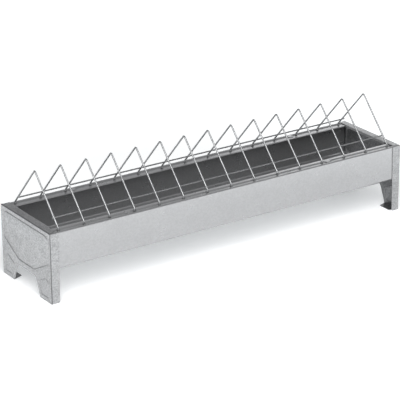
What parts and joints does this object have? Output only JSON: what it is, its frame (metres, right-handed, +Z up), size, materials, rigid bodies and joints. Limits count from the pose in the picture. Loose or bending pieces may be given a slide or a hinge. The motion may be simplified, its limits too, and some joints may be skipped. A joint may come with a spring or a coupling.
{
  "type": "trough feeder",
  "caption": "Folded sheet-steel feed trough on stamped end caps with legs, under a lift-off grid of bent wires that lets birds reach the feed but not stand in it.",
  "frame": {"origin": "on the ground, under the middle of the feeder", "axes": "+X along the trough towards the right end cap, +Y towards the back long side, +Z up"},
  "size_m": [0.75, 0.1704, 0.2097],
  "materials": {
    "trough_steel": "hot-dip galvanised sheet, fine spangle",
    "cap_steel": "galvanised sheet, mottled",
    "rivet_steel": "plain zinc-plated steel",
    "wire_steel": "bright zinc-plated wire"
  },
  "bodies": {
    "trough": {"trough_body": "trough_steel", "end_cap_left": "cap_steel", "end_cap_right": "cap_steel", "rivet_front_left": "rivet_steel", "rivet_back_left": "rivet_steel", "rivet_front_right": "rivet_steel", "rivet_back_right": "rivet_steel"},
    "grid": {"grid_wire_01": "wire_steel", "grid_wire_02": "wire_steel", "grid_wire_03": "wire_steel", "grid_wire_04": "wire_steel", "grid_wire_05": "wire_steel", "grid_wire_06": "wire_steel", "grid_wire_07": "wire_steel", "grid_wire_08": "wire_steel", "grid_wire_09": "wire_steel", "grid_wire_10": "wire_steel", "grid_wire_11": "wire_steel", "grid_wire_12": "wire_steel", "grid_wire_13": "wire_steel", "grid_wire_14": "wire_steel", "grid_wire_15": "wire_steel", "grid_rail_front": "wire_steel", "grid_rail_back": "wire_steel"}
  },
  "joints": [
    {"name": "grid_lift", "type": "slide", "parent": "trough", "child": "grid", "axis": [0, 0, 1], "range_m": [0, 0.1]}
  ]
}
